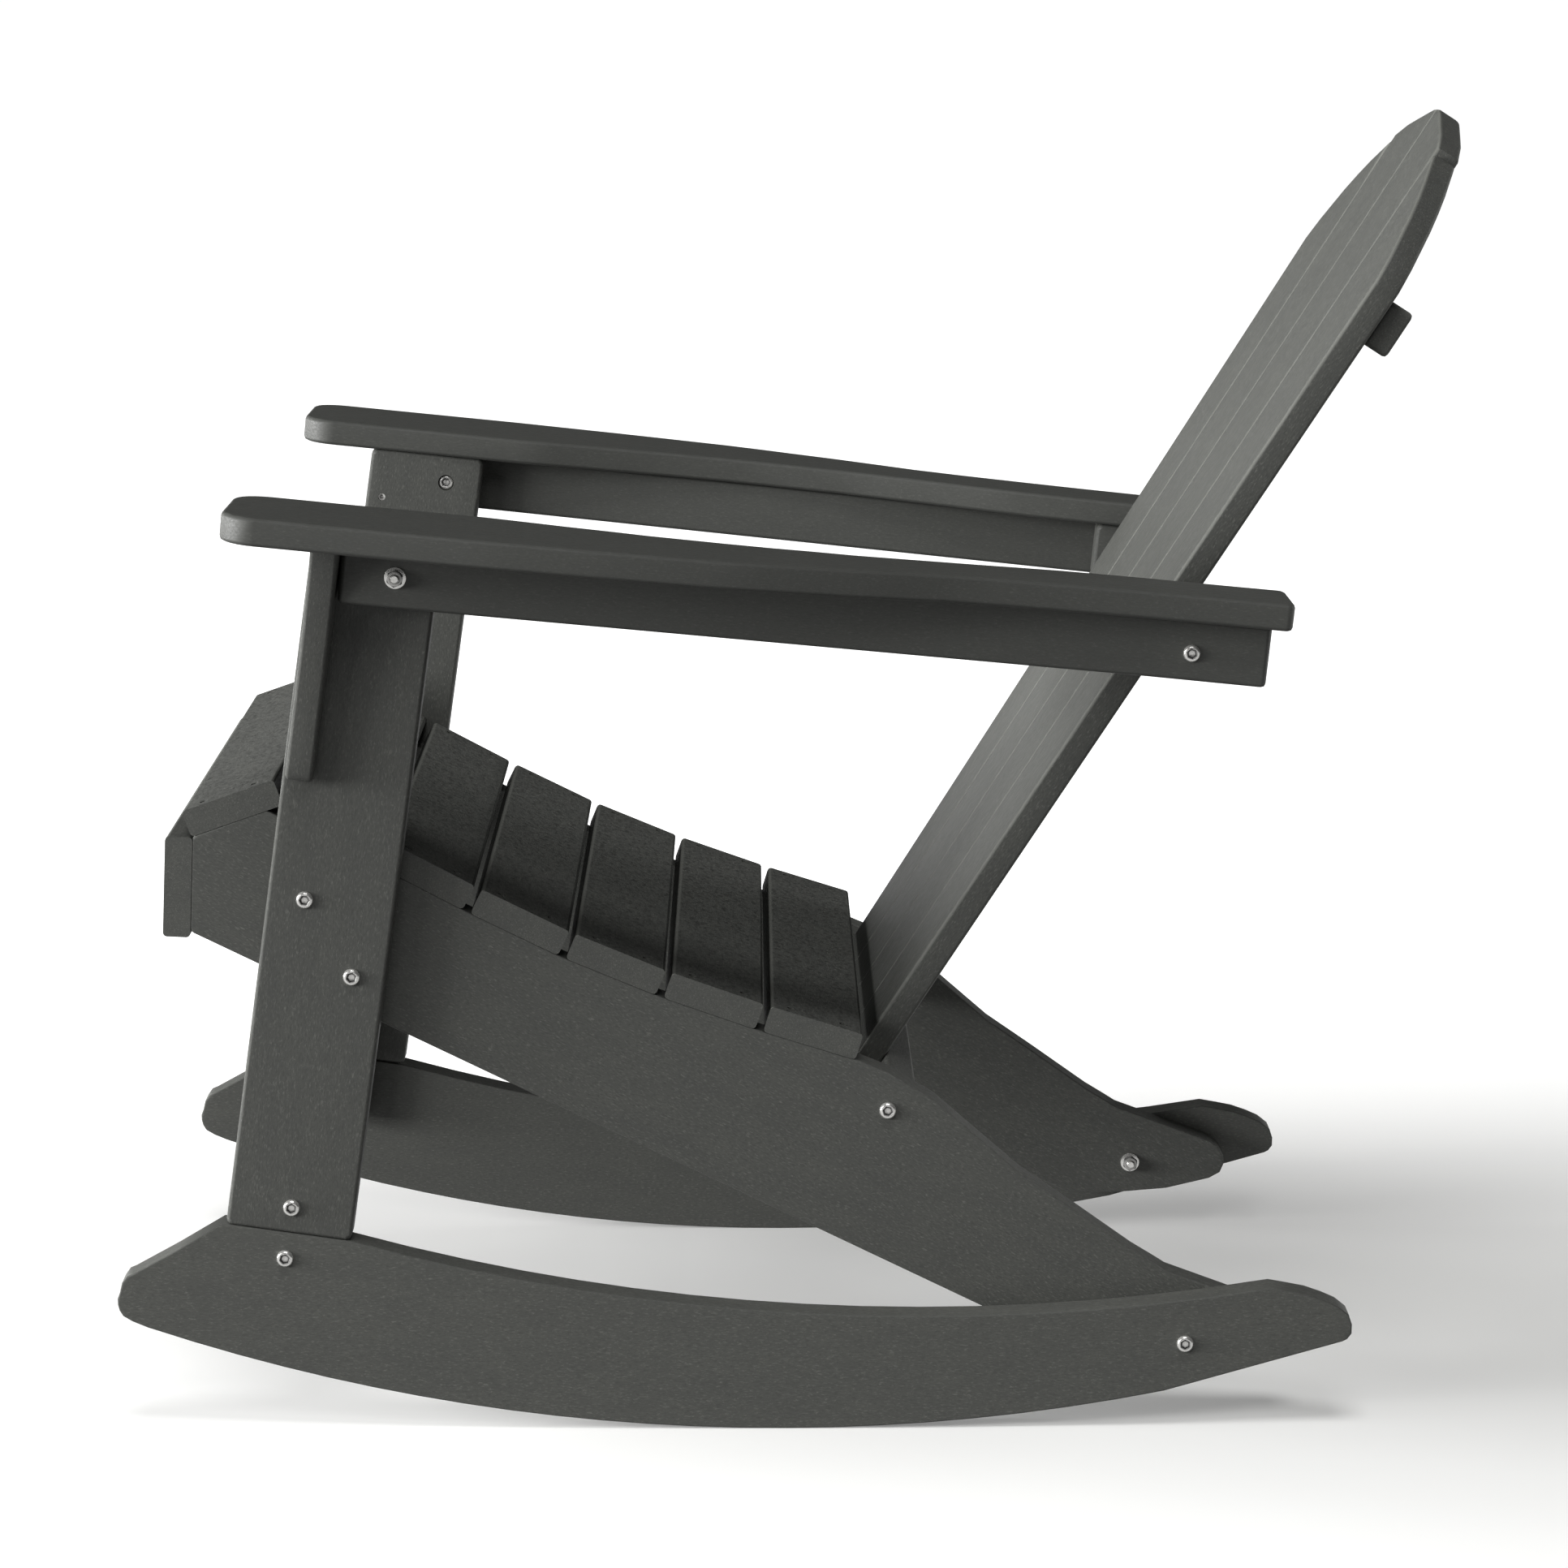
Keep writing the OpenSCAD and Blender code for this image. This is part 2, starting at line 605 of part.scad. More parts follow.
// Screw places across the back, two in each slat
back_screw_share = [-0.86, -0.64, -0.36, -0.14, 0.14, 0.36, 0.64, 0.86];
module back_places(s) {
    on_back() for (p = back_screw_share) translate([half_w(s) * p, s, -thin_t]) children();
}
module back_holes(s, t) {
    back_places(s) rotate([180, 0, 0]) screw_hole(t);
}
module back_pilots() {
    for (s = [lower_s, brace_s, batten_s]) back_places(s)
        translate([0, 0, -over]) cylinder(h = screw_bite + over, d = screw_d + play);
}

// Bolt places, as y and z
leg_bolt_share = [[0.296, 0.611], [0.736, 0.262]];
leg_bolt = [
    for (p = leg_bolt_share)
        let (
            y = leg_y0 + leg_w * p[0],
            a = chain_at(side_low, y),
            b = chain_at(side_top, y)
        )
        [y, a + (b - a) * p[1]]
];
cleat_pitch = 40;
cleat_bolt_top = [leg_c, -leg_drop + cleat_pitch / 2];
cleat_bolt_low = [leg_c, -leg_drop - cleat_pitch / 2];
rail_bolt_share = 0.69;
rail_bolt_y = leg_y0 + leg_w * rail_bolt_share;
rail_bolt = [rail_bolt_y, arm_under(rail_bolt_y) - rail_w / 2];
frame_bolt = concat(leg_bolt, [cleat_bolt_top, cleat_bolt_low, foot_bolt]);
sink_extra = 1.4;
head_sink = head_h + sink_extra;
// Share of the wood between the brace's end and its first screw that the end bolts fill
end_bite_share = 0.717;
end_bite = (side_in_x - half_w(brace_s) * back_screw_share[7]) * end_bite_share;
bracket_screw_share = [0.782, 0.2];
bracket_screw = [
    for (p = bracket_screw_share) [bracket_y - thin_t / 2, bracket_top - bracket_h * (1 - p)]
];
screw_x = side_x - heavy_t / 2;
apron_screw_share = [0.34, 0.73];
rail_sink = 20;
head_rim = 1;
thread_out = 2.5;

// Hole along x at a place in y and z
module upright_hole(p, x0, x1, r) {
    translate([x0, p[0], p[1]]) rotate([0, 90, 0]) cylinder(h = x1 - x0, r = r);
}
module bolt_hole(p, x0, x1) {
    upright_hole(p, x0 - over, x1 + over, bolt_d / 2 + play);
}

// Screw hole through a board of thickness t, its countersink on top
screw_sink = 1.8;
screw_head_h = (screw_head_d - screw_d) / 2;
module screw_hole(t) {
    translate([0, 0, -over]) cylinder(h = t + 2 * over, d = screw_d + play);
    translate([0, 0, t - screw_sink]) cylinder(h = screw_sink + over, d = screw_head_d + play);
    translate([0, 0, t - screw_sink - screw_head_h])
        cylinder(h = screw_head_h, d1 = screw_d + play, d2 = screw_head_d + play);
}
module screw_hole_x(p, x0, x1) {
    translate([x1, p[0], p[1]]) rotate([0, -90, 0]) screw_hole(x1 - x0);
}

// Screw with a flat head, its head flush with the countersink of a board of thickness t
module screw(t, bite) {
    translate([0, 0, -bite]) cylinder(h = bite + t - screw_sink - screw_head_h, d = screw_d);
    translate([0, 0, t - screw_sink - screw_head_h])
        cylinder(h = screw_head_h, d1 = screw_d, d2 = screw_head_d);
}

// Bolt along x with a round head at x1 and a hexagon socket, its shank ending at x0
socket_w = 4;
socket_h = 2;
head_share = [[0.44, 0.6], [0.34, 0.87], [0.24, 1]];
module bolt(p, x0, x1) {
    translate([x1, p[0], p[1]]) rotate([0, 90, 0]) difference() {
        union() {
            translate([0, 0, x0 - x1]) cylinder(h = x1 - x0, d = bolt_d);
            rotate_extrude() polygon([
                [0, 0], [head_d / 2, 0], [head_d / 2, head_rim],
                for (p = head_share) [head_d * p[0], head_h * p[1]],
                [0, head_h]
            ]);
        }
        translate([0, 0, head_h - socket_h])
            cylinder(h = socket_h + over, d = socket_w / cos(30), $fn = 6);
    }
}
module washer() {
    difference() {
        cylinder(h = washer_t, d = washer_d);
        translate([0, 0, -over]) cylinder(h = washer_t + 2 * over, d = bolt_d + 2 * play);
    }
}
module nut() {
    difference() {
        cylinder(h = nut_h, d = nut_w / cos(30), $fn = 6);
        translate([0, 0, -over]) cylinder(h = nut_h + 2 * over, d = bolt_d + play);
    }
}
// Places where a washer and a nut close a bolt, turned so that z points out of the joint
rail_face = leg_out_x + heavy_t;
module nut_places() {
    both() {
        for (p = frame_bolt) translate([side_in_x, p[0], p[1]]) rotate([0, -90, 0]) children();
        translate([rail_face, rail_bolt[0], rail_bolt[1]]) rotate([0, 90, 0]) children();
    }
}
nut_stack = washer_t + nut_h + thread_out;

module frame_bolts() color(steel) both()
    for (p = frame_bolt) bolt(p, side_in_x - nut_stack, leg_out_x);
module frame_washers() color(steel) nut_places() washer();
module frame_nuts() color(steel) nut_places() translate([0, 0, washer_t]) nut();
module end_bolts() color(steel) both() {
    bolt(lower_c, side_in_x - end_bite + over, side_x);
    bolt(brace_c, side_in_x - end_bite + over, leg_out_x);
}
module rail_bolts() color(steel) both()
    translate([2 * side_x, 0, 0]) mirror([1, 0, 0])
        bolt(rail_bolt, side_x - 2 * heavy_t - nut_stack, side_x - head_sink);
module seat_screws() color(steel) both() for (i = [1 : 7]) on_seat(i)
    for (y = [screw_edge, slat_w - screw_edge]) translate([screw_x, y, 0]) screw(thin_t, seat_bite);
module apron_screws() color(steel) both() on_apron() for (p = apron_screw_share)
    translate([screw_x, -apron_w * p, 0]) screw(thin_t, seat_bite);
module bracket_screws() color(steel) both() for (p = bracket_screw)
    translate([leg_out_x, p[0], p[1]]) rotate([0, -90, 0]) screw(heavy_t, screw_bite);
module back_screws() color(steel) for (s = [lower_s, brace_s])
    back_places(s) rotate([180, 0, 0]) screw(heavy_t, screw_bite);
module batten_screws() color(steel)
    back_places(batten_s) rotate([180, 0, 0]) screw(thin_t, screw_bite);
module arm_screws() color(steel) both() on_arm() for (y = arm_screw_y)
    translate([rail_x(y), y, 0]) rotate([180, 0, 0]) screw(rail_w - rail_sink + screw_sink, screw_bite);

// The leaned pose: heights from the floor, and y from the middle of the chair's length
function lean_y(p) = p[0] * cos(lean) + p[1] * sin(lean);
function lean_z(p) = p[1] * cos(lean) - p[0] * sin(lean);
floor_z = lean_z(rocker_c) - rocker_r;
front_y = min([for (p = rocker_top) lean_y(p)]);
rear_y = lean_y(back_point(back_l, thin_t));
module posed() {
    translate([0, -(front_y + rear_y) / 2, -floor_z]) rotate([-lean, 0, 0]) children();
}

posed() rocker(1);  // rocker_left
posed() rocker(-1);  // rocker_right
posed() leg(1);  // leg_left
posed() leg(-1);  // leg_right
posed() cleat(1);  // cleat_left
posed() cleat(-1);  // cleat_right
posed() seat_side(1);  // seat_side_left
posed() seat_side(-1);  // seat_side_right
posed() arm(1);  // arm_left
posed() arm(-1);  // arm_right
posed() arm_rail(1);  // arm_rail_left
posed() arm_rail(-1);  // arm_rail_right
posed() rail_block(1);  // rail_block_left
posed() rail_block(-1);  // rail_block_right
posed() arm_bracket(1);  // arm_bracket_left
posed() arm_bracket(-1);  // arm_bracket_right
posed() apron();
posed() seat_slat(1);  // seat_slat_1
posed() seat_slat(2);  // seat_slat_2
posed() seat_slat(3);  // seat_slat_3
posed() seat_slat(4);  // seat_slat_4
posed() seat_slat(5);  // seat_slat_5
posed() seat_slat(6);  // seat_slat_6
posed() seat_slat(7);  // seat_slat_7
posed() lower_support();
posed() cross_brace();
posed() back_batten();
posed() back_slat(1);  // back_slat_1
posed() back_slat(2);  // back_slat_2
posed() back_slat(3);  // back_slat_3
posed() back_slat(4);  // back_slat_4
posed() frame_bolts();
posed() frame_washers();
posed() frame_nuts();
posed() end_bolts();
posed() rail_bolts();
posed() seat_screws();
posed() apron_screws();
posed() bracket_screws();
posed() back_screws();
posed() batten_screws();
posed() arm_screws();
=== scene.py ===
import math
import re

import bmesh
import bpy
import numpy as np
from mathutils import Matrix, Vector


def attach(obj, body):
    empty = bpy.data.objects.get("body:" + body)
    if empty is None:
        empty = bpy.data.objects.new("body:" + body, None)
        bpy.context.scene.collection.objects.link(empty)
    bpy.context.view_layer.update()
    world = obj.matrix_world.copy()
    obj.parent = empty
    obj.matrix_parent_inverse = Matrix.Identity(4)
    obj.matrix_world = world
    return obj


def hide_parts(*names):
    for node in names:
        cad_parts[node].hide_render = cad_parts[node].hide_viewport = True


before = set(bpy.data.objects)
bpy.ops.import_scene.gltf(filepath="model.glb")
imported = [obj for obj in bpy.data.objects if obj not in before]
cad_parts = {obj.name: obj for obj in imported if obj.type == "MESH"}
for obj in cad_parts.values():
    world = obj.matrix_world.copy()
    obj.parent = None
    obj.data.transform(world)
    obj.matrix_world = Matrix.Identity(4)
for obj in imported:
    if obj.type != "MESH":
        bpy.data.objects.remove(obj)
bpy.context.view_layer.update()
print("frame loaded:", len(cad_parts), "nodes")

mmPerMetre = 1000


def srgbToLinear(hexColour):
    # each channel c of the hex value becomes c / 12.92 below 0.04045, and otherwise
    # ((c + 0.055) / 1.055) to the power 2.4
    channels = [int(hexColour[i:i + 2], 16) / 255 for i in (1, 3, 5)]
    linear = [c / 12.92 if c <= 0.04045 else ((c + 0.055) / 1.055) ** 2.4 for c in channels]
    return (*linear, 1.0)


def addNode(tree, kind, inputs=None, **settings):
    # one node: its settings, then each input is a plain value or the socket it is linked from
    node = tree.nodes.new(kind)
    for name, value in settings.items():
        setattr(node, name, value)
    for name, value in (inputs or {}).items():
        if isinstance(value, bpy.types.NodeSocket):
            tree.links.new(value, node.inputs[name])
        else:
            node.inputs[name].default_value = value
    return node


def newMaterial(name):
    material = bpy.data.materials.new(name)
    material.use_nodes = True
    material.node_tree.nodes.clear()
    return material, material.node_tree


def layered(tree, hexColour, layers):
    # colours laid over each other: each layer is a share, a number or a socket, and a hex colour
    colour = srgbToLinear(hexColour)
    for share, over in layers:
        colour = addNode(tree, "ShaderNodeMix", {0: share, 6: colour, 7: srgbToLinear(over)},
                         data_type="RGBA").outputs[2]
    return colour


# Recycled HDPE lumber: extruded board with an embossed grain, edges routed after. Charcoal and
# satin, with short pale flecks along the extrusion and a faint cloudiness.
plasticBoard = {
    "deep": "#4a4b48",
    "body": "#50514d",
    "pale": "#696a65",
    "dark": "#434441",
    "wornAndHighlit": "#62635e",          # routed edges that are paler than the faces: slight wear, and in part a painted highlight
    "edgeShade": "#3c3d3a",        # and painted shade on those that are darker than the faces
    "mottle": "#343532",        # on the faces that look up
    "gap": "#2b2c2a",           # painted shade on faces in the narrow gaps
    "gapShare": 0.85,
    "gapFade": 0.08,            # of the cosine
    "gapTopFade": 0.001,        # m
    "upFade": (0.5, 0.8),       # height of a normal, from none of the mottling to all of it
    "noises": {                 # cell in mm, stretch along the grain, detail, roughness, distortion
        "fleck": (1.0, 3.4, 2.0, 0.55, 0.6),        # flecks are half a cell wide
        "fibre": (1.2, 7.0, 1.0, 0.5, 0.0),         # and so are extrusion lines
        "cloud": (16.0, 3.4, 3.0, 0.6, 0.0),
        "mottle": (3.6, 1.5, 2.0, 0.55, 0.4),
    },
    "layers": {                 # over the deep colour: the noise, and where it shows none and all
        "body": ("cloud", 0.3, 0.7),
        "pale": ("fleck", 0.57, 0.74),
        "dark": ("fleck", 0.48, 0.3),
        "mottle": ("mottle", 0.44, 0.69),
    },
    "embossDepth": 0.1,         # mm
    "embossStrength": 0.5,
    "roughness": (0.48, 0.62),
    "roughSpan": (0.3, 0.7),    # of the fibre noise
    "edgeRoughness": 0.25,      # added on routed edges
    "ior": 1.5,
    "specular": 0.5,
}
plainBoard = {
    "grain": 0.0,               # degrees above +Y in the side view
    "across": False,            # True where the grain runs along X
    "edge": "wornAndHighlit",
    "edged": 0.1,               # share of the edge colour on routed edges, in part a painted highlight or painted shade
    "paintedTone": "dark",
    "paintedToneShare": 0.0,               # share of the tone colour all over, painted light or painted shade on the whole board
    "mottled": 0.3,             # share of the mottling on faces that look up
    "gaps": (),
    "leastBend": 36,            # degrees, a little less than between the facets of a rounding
}
# Where a board differs from the plain one. Nodes go by their names before _left, _right or a
# number. Each shaded gap, a painted shade, is the way that faces in it look, the least cosine that
# counts, and its top in metres: under the back slats and behind the last seat slat, where it is
# the painted shadow of that slat on the back, and along the seat slats.
boardKinds = {
    "upright": {"nodes": ("leg", "cleat", "arm_bracket"), "grain": 81.8, "paintedToneShare": 0.1},
    "rocker": {"nodes": ("rocker",), "grain": -1.9, "edge": "edgeShade", "edged": 0.7,
               "paintedTone": "pale", "paintedToneShare": 0.12},
    "seatSide": {"nodes": ("seat_side",), "grain": -26.1},
    "arm": {"nodes": ("arm", "arm_rail", "rail_block"), "grain": -5.7, "edge": "edgeShade",
            "edged": 0.9, "paintedToneShare": 0.6},
    "across": {"nodes": ("apron", "lower_support", "cross_brace", "back_batten"), "across": True,
               "edged": 0.4, "mottled": 0.5, "leastBend": 25},
    "seat": {"nodes": ("seat_slat",), "across": True, "edged": 0.7, "mottled": 1.0,
             "gaps": (((0, 1, 0), 0.47, 1.0), ((0, -1, 0), 0.8, 1.0)), "leastBend": 25},
    "back": {"nodes": ("back_slat",), "grain": 57.4, "edged": 1.0,
             "gaps": (((0, -0.54, -0.84), 0.12, 1.0), ((0, -0.84, 0.54), 0.6, 0.295))},
}


def gapCover(tree, place, gaps):
    # share of the painted gap shade: the greatest, over the gaps, of 1 on faces that look that
    # gap's way and lie below its top, and 0 elsewhere, times the colour's own share
    look = plasticBoard
    height = addNode(tree, "ShaderNodeSeparateXYZ", {0: place.outputs["Object"]}).outputs["Z"]
    shadeCover = 0.0
    for direction, least, top in gaps:
        turned = addNode(tree, "ShaderNodeVectorMath", {0: place.outputs["Normal"], 1: direction},
                         operation="DOT_PRODUCT").outputs["Value"]
        share = addNode(tree, "ShaderNodeMapRange", {
            "Value": turned, "From Min": least, "From Max": least + look["gapFade"],
            "To Max": look["gapShare"]}).outputs[0]
        low = addNode(tree, "ShaderNodeMapRange", {
            "Value": height, "From Min": top + look["gapTopFade"],
            "From Max": top - look["gapTopFade"], "To Max": share}).outputs[0]
        shadeCover = addNode(tree, "ShaderNodeMath", {0: shadeCover, 1: low}, operation="MAXIMUM").outputs[0]
    return shadeCover


def boardMaterial(name, board):
    # stretched noises along the grain give flecks, lines and clouds, each a layer of colour; the
    # edgeShare attribute gives the routed edges, paler or darker in part as painted highlight or
    # painted shade, and the way that a face looks gives the rest, with the painted shade in gaps
    look = plasticBoard
    material, tree = newMaterial(name)
    place = addNode(tree, "ShaderNodeTexCoord")
    turn = (0, 0, math.radians(-90)) if board["across"] else (math.radians(board["grain"]), 0, 0)
    along = addNode(tree, "ShaderNodeMapping", {"Vector": place.outputs["Object"],
                    "Rotation": turn}, vector_type="TEXTURE").outputs[0]
    noises = {}
    for part, (cell, stretch, detail, roughness, distortion) in look["noises"].items():
        stretched = addNode(tree, "ShaderNodeMapping", {"Vector": along,
                            "Scale": (1, 1 / stretch, 1)}).outputs[0]
        noises[part] = addNode(tree, "ShaderNodeTexNoise", {
            "Vector": stretched, "Scale": mmPerMetre / cell, "Detail": detail,
            "Roughness": roughness, "Distortion": distortion}).outputs[0]

    facing = addNode(tree, "ShaderNodeSeparateXYZ", {0: place.outputs["Normal"]}).outputs["Z"]
    start, full = look["upFade"]
    facingUp = addNode(tree, "ShaderNodeMapRange", {
        "Value": facing, "From Min": start, "From Max": full,
        "To Max": board["mottled"]}).outputs[0]
    layers = []
    for colour, (part, start, full) in look["layers"].items():
        most = facingUp if colour == "mottle" else 1.0
        share = addNode(tree, "ShaderNodeMapRange", {
            "Value": noises[part], "From Min": start, "From Max": full,
            "To Max": most}).outputs[0]
        layers.append((share, look[colour]))
    routed = addNode(tree, "ShaderNodeAttribute", attribute_name="edgeShare").outputs["Fac"]
    edged = addNode(tree, "ShaderNodeMath", {0: routed, 1: board["edged"]},
                    operation="MULTIPLY").outputs[0]
    shadeCover, shine = 0.0, look["specular"]
    if board["gaps"]:           # painted shade: dark and without shine
        shadeCover = gapCover(tree, place, board["gaps"])
        shine = addNode(tree, "ShaderNodeMapRange", {
            "Value": shadeCover, "To Min": look["specular"], "To Max": 0.0}).outputs[0]
    layers += [(board["paintedToneShare"], look[board["paintedTone"]]), (edged, look[board["edge"]]),
               (shadeCover, look["gap"])]

    rough = addNode(tree, "ShaderNodeMapRange", {
        "Value": noises["fibre"], "From Min": look["roughSpan"][0],
        "From Max": look["roughSpan"][1], "To Min": look["roughness"][0],
        "To Max": look["roughness"][1]}).outputs[0]
    rough = addNode(tree, "ShaderNodeMath", {0: routed, 1: look["edgeRoughness"], 2: rough},
                    operation="MULTIPLY_ADD").outputs[0]
    relief = addNode(tree, "ShaderNodeMath", {0: noises["fleck"], 1: noises["fibre"]},
                     operation="ADD").outputs[0]
    bump = addNode(tree, "ShaderNodeBump", {
        "Height": relief, "Strength": look["embossStrength"],
        "Distance": look["embossDepth"] / mmPerMetre}).outputs[0]
    shader = addNode(tree, "ShaderNodeBsdfPrincipled", {
        "Base Color": layered(tree, look["deep"], layers), "Roughness": rough,
        "IOR": look["ior"], "Specular IOR Level": shine, "Normal": bump})
    addNode(tree, "ShaderNodeOutputMaterial", {"Surface": shader.outputs[0]})
    return material


# Stainless steel: cold-headed, tumbled bright. Grey metal with soft reflections and a fine
# tumbled grain, and painted shade, dark and without shine, in sockets and drives and on nuts.
stainless = {
    "steel": "#eeedea",
    "dull": "#dddcd8",
    "paintedShade": "#181818",        # painted shade on the walls of the sockets and drives and on nuts
    "metallic": 0.75,
    "specular": 0.5,
    "grainSize": 0.8,           # mm
    "grainDepth": 0.004,        # mm
    "grainStrength": 0.5,
    "grainDetail": 3.0,
    "grainSpan": (0.35, 0.65),  # of the noise, from dull to bright
    "roughness": (0.18, 0.3),
}


def steelMaterial(name):
    look = stainless
    material, tree = newMaterial(name)
    place = addNode(tree, "ShaderNodeTexCoord").outputs["Object"]
    grain = addNode(tree, "ShaderNodeTexNoise", {
        "Vector": place, "Scale": mmPerMetre / look["grainSize"],
        "Detail": look["grainDetail"]}).outputs[0]
    dull, bright = look["grainSpan"]
    share = addNode(tree, "ShaderNodeMapRange", {
        "Value": grain, "From Min": dull, "From Max": bright}).outputs[0]
    # painted shade: where its share is high the steel turns dark, not metallic and without shine
    shadeShare = addNode(tree, "ShaderNodeAttribute", attribute_name="paintedShadeShare").outputs["Fac"]
    low, high = look["roughness"]
    rough = addNode(tree, "ShaderNodeMapRange", {
        "Value": grain, "From Min": dull, "From Max": bright, "To Min": high,
        "To Max": low}).outputs[0]
    bump = addNode(tree, "ShaderNodeBump", {
        "Height": grain, "Strength": look["grainStrength"],
        "Distance": look["grainDepth"] / mmPerMetre}).outputs[0]
    metallic = addNode(tree, "ShaderNodeMapRange", {
        "Value": shadeShare, "To Min": look["metallic"], "To Max": 0.0}).outputs[0]
    shine = addNode(tree, "ShaderNodeMapRange", {
        "Value": shadeShare, "To Min": look["specular"], "To Max": 0.0}).outputs[0]
    shader = addNode(tree, "ShaderNodeBsdfPrincipled", {
        "Base Color": layered(tree, look["dull"], [(share, look["steel"]), (shadeShare, look["paintedShade"])]),
        "Metallic": metallic, "Specular IOR Level": shine, "Roughness": rough, "Normal": bump})
    addNode(tree, "ShaderNodeOutputMaterial", {"Surface": shader.outputs[0]})
    return material


def meshArrays(source):
    # corner points and triangles of a mesh, with corners that round to one place made one
    weldSize = 2e-6
    points = np.zeros(len(source.vertices) * 3)
    source.vertices.foreach_get("co", points)
    source.calc_loop_triangles()
    triangles = np.zeros(len(source.loop_triangles) * 3, np.int32)
    source.loop_triangles.foreach_get("vertices", triangles)
    keys = np.round(points.reshape(-1, 3) / weldSize).astype(np.int64)
    first, place = np.unique(keys, axis=0, return_index=True, return_inverse=True)[1:]
    triangles = place.ravel()[triangles].reshape(-1, 3)
    whole = (triangles != np.roll(triangles, 1, axis=1)).all(axis=1)
    return points.reshape(-1, 3)[first], triangles[whole]


def edgeShares(points, triangles, leastBend):
    # 1 along routed edges, 0 on the flats: the facets of a rounding meet at 45 degrees on cut
    # boards and at 30 on sawn slats, so both ends of an edge that bends by that much count
    mostBend = 54
    a, b, c = (points[triangles[:, i]] for i in range(3))
    normals = np.cross(b - a, c - a)
    normals /= np.linalg.norm(normals, axis=1)[:, None] + 1e-20      # a sliver has no normal
    ends = np.concatenate([triangles[:, [0, 1]], triangles[:, [1, 2]], triangles[:, [2, 0]]])
    ends = np.sort(ends, axis=1)
    owner = np.tile(np.arange(len(triangles)), 3)
    order = np.lexsort((ends[:, 1], ends[:, 0]))
    ends, owner = ends[order], owner[order]
    pair = np.flatnonzero((ends[1:] == ends[:-1]).all(axis=1))
    cosines = (normals[owner[pair]] * normals[owner[pair + 1]]).sum(axis=1)
    bend = np.degrees(np.arccos(np.clip(cosines, -1, 1)))
    shares = np.zeros(len(points))
    shares[ends[pair[(bend > leastBend) & (bend < mostBend)]].ravel()] = 1
    return shares


def newPiece(name, points, triangles):
    mesh = bpy.data.meshes.new(name)
    mesh.from_pydata(points.tolist(), [], triangles.tolist())
    mesh.validate()
    piece = bpy.data.objects.new(name, mesh)
    bpy.context.scene.collection.objects.link(piece)
    return piece


shading = {
    "boardCrease": 50,          # degrees, above which an edge stays sharp
    "steelCrease": 32,
    "flatWeight": 80,           # how far large faces keep their own normal
}


def addBoard(node, material, leastBend):
    # the node's own surface, its edge shares, and normals that keep the flats flat
    points, triangles = meshArrays(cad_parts[node].data)
    piece = newPiece(node + "_board", points, triangles)
    shares = piece.data.attributes.new("edgeShare", "FLOAT", "POINT")
    shares.data.foreach_set("value", edgeShares(points, triangles, leastBend))
    piece.data.shade_smooth()
    piece.data.set_sharp_from_angle(angle=math.radians(shading["boardCrease"]))
    weighted = piece.modifiers.new("flatFaces", "WEIGHTED_NORMAL")
    weighted.keep_sharp = True
    weighted.weight = shading["flatWeight"]
    piece.data.materials.append(material)
    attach(piece, "root")
    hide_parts(node)


for kind, differences in boardKinds.items():
    board = {**plainBoard, **differences}
    hdpe = boardMaterial("hdpeLumber_" + kind, board)
    for node in sorted(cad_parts):
        if re.sub("_(left|right|[0-9])$", "", node) in board["nodes"]:
            addBoard(node, hdpe, board["leastBend"])
print("boards made")


def splitShells(points, triangles):
    # one label per corner: each triangle hands its lowest label to its corners until none changes
    labels = np.arange(len(points))
    while True:
        lowest = labels[triangles].min(axis=1)
        spread = labels.copy()
        for i in range(3):
            np.minimum.at(spread, triangles[:, i], lowest)
        if (spread == labels).all():
            return labels
        labels = spread


def fastenerPlaces(node, axis=None):
    # for each solid of a node: the middle of its head's top, the way its axis points out of the
    # head, a direction across it towards its widest corner, and its length; without an axis, it
    # is the direction in which the solid's corners spread the most
    widest, slack = 0.95, 1e-4      # share of the reach that is head, and metres
    points, triangles = meshArrays(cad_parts[node].data)
    labels = splitShells(points, triangles)
    places = []
    for label in np.unique(labels):
        shell = points[labels == label]
        if axis:
            middle, out = (shell.min(axis=0) + shell.max(axis=0)) / 2, np.array(axis)
        else:
            middle = shell.mean(axis=0)
            out = np.linalg.svd(shell - middle, full_matrices=False)[2][0]
        height = (shell - middle) @ out
        aside = shell - middle - height[:, None] * out
        reach = np.linalg.norm(aside, axis=1)
        headHeight = height[reach > widest * reach.max()].mean()
        if headHeight < (height.min() + height.max()) / 2 - slack:
            out, height = -out, -height
        across = aside[reach.argmax()] / reach.max()
        places.append((middle + out * height.max(), out, across, height.max() - height.min()))
    return [np.array(column) for column in zip(*places)]


def polygon(sides, count):
    # radius of a regular polygon of inner radius 1, a corner at angle 0, at count equal angles
    half = math.pi / sides
    angle = 2 * math.pi * np.arange(count) / count
    return 1 / np.cos(angle % (2 * half) - half)


steel = steelMaterial("tumbledStainless")


